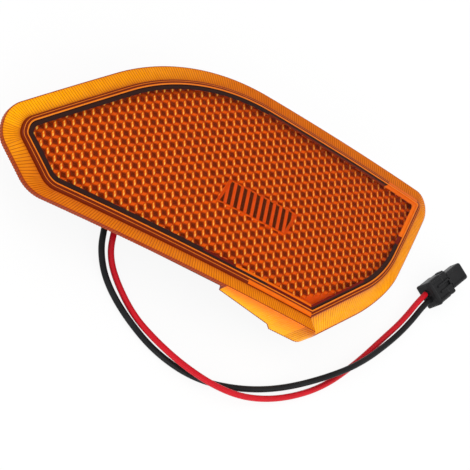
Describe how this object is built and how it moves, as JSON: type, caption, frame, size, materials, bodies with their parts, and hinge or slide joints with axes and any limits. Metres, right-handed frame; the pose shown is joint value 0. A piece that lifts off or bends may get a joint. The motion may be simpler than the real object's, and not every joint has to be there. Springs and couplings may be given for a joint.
{
  "type": "side marker lamp",
  "caption": "Amber vehicle side marker lamp with a crowned reflex lens, ribbed rim, fluted light window, black rear housing, screw bosses and a wired plug.",
  "frame": {"origin": "midway between the two mounting screws, on the plane of the housing's back", "axes": "+X along the lamp towards its square end, +Y towards its upper edge, +Z out of the lens"},
  "size_m": [0.1547, 0.0797, 0.02],
  "materials": {
    "amber_lens": "clear amber, polished",
    "black_housing": "satin moulded",
    "green_board": "solder mask",
    "steel": "zinc plated",
    "led_white": "moulded chip body",
    "chip_black": "moulded",
    "chip_tan": "ceramic",
    "black_rubber": "soft matt",
    "black_wire": "satin insulation",
    "red_wire": "satin insulation",
    "solder": "bright",
    "black_plug": "moulded",
    "tin_contact": "tinned"
  },
  "bodies": {
    "root": {"lens": "amber_lens", "rear_housing": "black_housing", "circuit_board": "green_board", "board_screws": "steel", "leds": "led_white", "resistors": "chip_black", "polarity_diode": "chip_black", "input_capacitor": "chip_tan", "grommet": "black_rubber", "inner_lead_black": "black_wire", "inner_lead_red": "red_wire", "solder_joints": "solder", "wire_black": "black_wire", "wire_red": "red_wire", "plug_shell": "black_plug", "plug_terminals": "tin_contact"}
  },
  "joints": []
}
